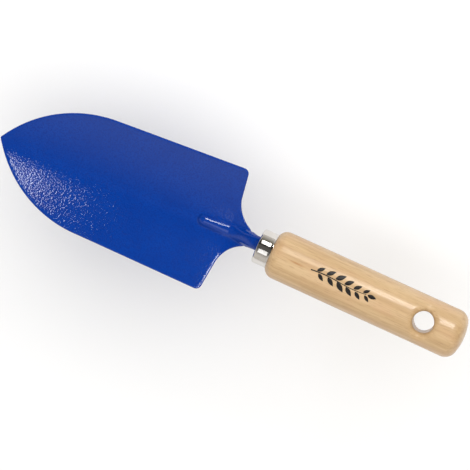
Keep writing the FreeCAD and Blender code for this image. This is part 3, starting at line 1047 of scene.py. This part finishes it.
def studio_floor():
    """A pale matt floor, very slightly clouded."""
    shader = Shader("floor_finish")
    cloud = shader.noise(shader.place, FLOOR_CLOUD_SCALE, detail=2.0)
    colour = shader.ramp(cloud, [(NOISE_LOW, FLOOR_GREY), (NOISE_HIGH, FLOOR_PALE)])
    shader.set(Base_Color=colour, Roughness=0.6, Specular_IOR_Level=0.2)
    return shader.material


# ---------------- camera, floor and light

def view_axes():
    """Unit vectors towards the camera, along the handle and across it, all square to each other."""
    along = math.radians(VIEW_TILT_ALONG)
    across = math.radians(VIEW_TILT_ACROSS)
    towards = Vector((math.sin(along) * math.cos(across), math.sin(across),
                      math.cos(along) * math.cos(across)))
    handle_way = Vector((1.0, 0.0, 0.0))
    handle_way = (handle_way - towards * handle_way.dot(towards)).normalized()
    return towards, handle_way, towards.cross(handle_way)


def facing(right, up, towards, place):
    """The matrix of a camera or light that looks away from towards, at a place."""
    made = Matrix((right, up, towards)).transposed().to_4x4()
    made.translation = place
    return made


def make_camera(middle):
    """The camera, over the trowel, turned so that the handle points to the lower right."""
    towards, handle_way, across_way = view_axes()
    roll = math.radians(VIEW_ROLL)
    right = handle_way * math.cos(roll) + across_way * math.sin(roll)
    up = across_way * math.cos(roll) - handle_way * math.sin(roll)
    data = bpy.data.cameras.new("camera")
    data.sensor_width = SENSOR_WIDTH
    data.lens = LENS
    data.clip_start = CLIP_START * MM
    data.clip_end = CLIP_END * MM
    camera = bpy.data.objects.new("camera", data)
    aim = middle + Vector(VIEW_AIM) * MM
    camera.matrix_world = facing(right, up, towards, aim + towards * VIEW_DISTANCE * MM)
    bpy.context.scene.collection.objects.link(camera)
    bpy.context.scene.camera = camera


def make_light(name, middle, angle, distance, width, reach, radiance, colour):
    """A soft light at an angle across the handle from the line of sight, over a reach along it."""
    towards, handle_way, across_way = view_axes()
    turn = math.radians(angle)
    way = towards * math.cos(turn) + across_way * math.sin(turn)
    data = bpy.data.lights.new(name, "AREA")
    data.shape = "RECTANGLE"
    data.size = (reach[1] - reach[0]) * MM
    data.size_y = width * MM
    data.energy = radiance * math.pi * data.size * data.size_y
    data.color = colour
    light = bpy.data.objects.new(name, data)
    place = middle + way * distance * MM + handle_way * (reach[0] + reach[1]) / 2.0 * MM
    light.matrix_world = facing(handle_way, way.cross(handle_way), way, place)
    light.visible_camera = False
    bpy.context.scene.collection.objects.link(light)
    return light


def light_width(distance, spread):
    """Width of a light that spreads over this angle, seen from the trowel."""
    return 2.0 * distance * math.tan(math.radians(spread / 2.0))


def make_lights(middle):
    """Strips and a card that only reflections see, and a broad fill that they do not see. The far
    strip is placed for the blade's rib, the near strip and the card for the ferrule."""
    far_width = light_width(FAR_LIGHT_DISTANCE, STRIP_SPREAD)
    near_width = light_width(NEAR_LIGHT_DISTANCE, STRIP_SPREAD)
    card_width = light_width(NEAR_LIGHT_DISTANCE, CARD_SPREAD)
    far_strip = make_light("far_strip", middle, STRIP_ANGLE, FAR_LIGHT_DISTANCE, far_width,
                           FAR_STRIP_REACH, FAR_STRIP_RADIANCE, WARM_WHITE)
    near_strip = make_light("near_strip", middle, STRIP_ANGLE, NEAR_LIGHT_DISTANCE, near_width,
                            NEAR_STRIP_REACH, NEAR_STRIP_RADIANCE, WARM_WHITE)
    card = make_light("white_card", middle, CARD_ANGLE, NEAR_LIGHT_DISTANCE, card_width, CARD_REACH,
                      CARD_RADIANCE, COOL_WHITE)
    reach = (-FILL_SIZE / 2.0, FILL_SIZE / 2.0)
    fill = make_light("fill", middle, FILL_ANGLE, FILL_DISTANCE, FILL_SIZE, reach, FILL_RADIANCE, WHITE)
    for light in (far_strip, near_strip, card):
        light.visible_diffuse = False
    fill.visible_glossy = False


def make_floor():
    """A wide plain floor, some way under the trowel."""
    half = FLOOR_SIZE / 2.0 * MM
    z = (trowel_bottom - FLOOR_DROP) * MM
    mesh = bpy.data.meshes.new("floor")
    corners = [(-half, -half, z), (half, -half, z), (half, half, z), (-half, half, z)]
    mesh.from_pydata(corners, [], [(0, 1, 2, 3)])
    floor = bpy.data.objects.new("floor", mesh)
    bpy.context.scene.collection.objects.link(floor)
    floor.data.materials.append(studio_floor())


def make_room():
    """A plain studio: bright at the sides, dim round the camera and darkest round the strips."""
    towards, _, across_way = view_axes()
    world = bpy.data.worlds.new("studio")
    bpy.context.scene.world = world
    world.use_nodes = True
    nodes = world.node_tree.nodes
    links = world.node_tree.links
    direction = nodes.new("ShaderNodeTexCoord").outputs["Generated"]
    parts = []
    for axis in (across_way, towards):
        dot = nodes.new("ShaderNodeVectorMath")
        dot.operation = "DOT_PRODUCT"
        dot.inputs[1].default_value = axis
        links.new(direction, dot.inputs[0])
        parts.append(dot.outputs["Value"])
    turn = nodes.new("ShaderNodeMath")
    turn.operation = "ARCTAN2"
    links.new(parts[0], turn.inputs[0])
    links.new(parts[1], turn.inputs[1])
    share = nodes.new("ShaderNodeMapRange")
    share.inputs["From Min"].default_value = -math.pi
    share.inputs["From Max"].default_value = math.pi
    links.new(turn.outputs["Value"], share.inputs["Value"])
    ramp = nodes.new("ShaderNodeValToRGB")
    elements = ramp.color_ramp.elements
    while len(elements) < len(ROOM_STOPS):
        elements.new(0.5)
    for element, (angle, level, colour) in zip(elements, ROOM_STOPS):
        element.position = 0.5 + angle / 360.0
        element.color = (*(level * c for c in colour), 1.0)
    links.new(share.outputs["Result"], ramp.inputs["Fac"])
    background = nodes["Background"]
    links.new(ramp.outputs["Color"], background.inputs["Color"])
    background.inputs["Strength"].default_value = ROOM_RADIANCE


def give_finish(made, material):
    """Gives a piece one material."""
    made.data.materials.clear()
    made.data.materials.append(material)


blade = make_blade()
ferrule = make_ferrule()
handle = make_handle()
sprig = make_sprig()
give_finish(blade, powder_coat())
give_finish(ferrule, bright_plating())
give_finish(handle, lacquered_wood())
give_finish(sprig, printing_ink())

middle = (cad_box[0] + cad_box[1]) / 2.0
make_camera(middle)
make_floor()
make_room()
make_lights(middle)
bpy.context.scene.view_settings.view_transform = "Standard"
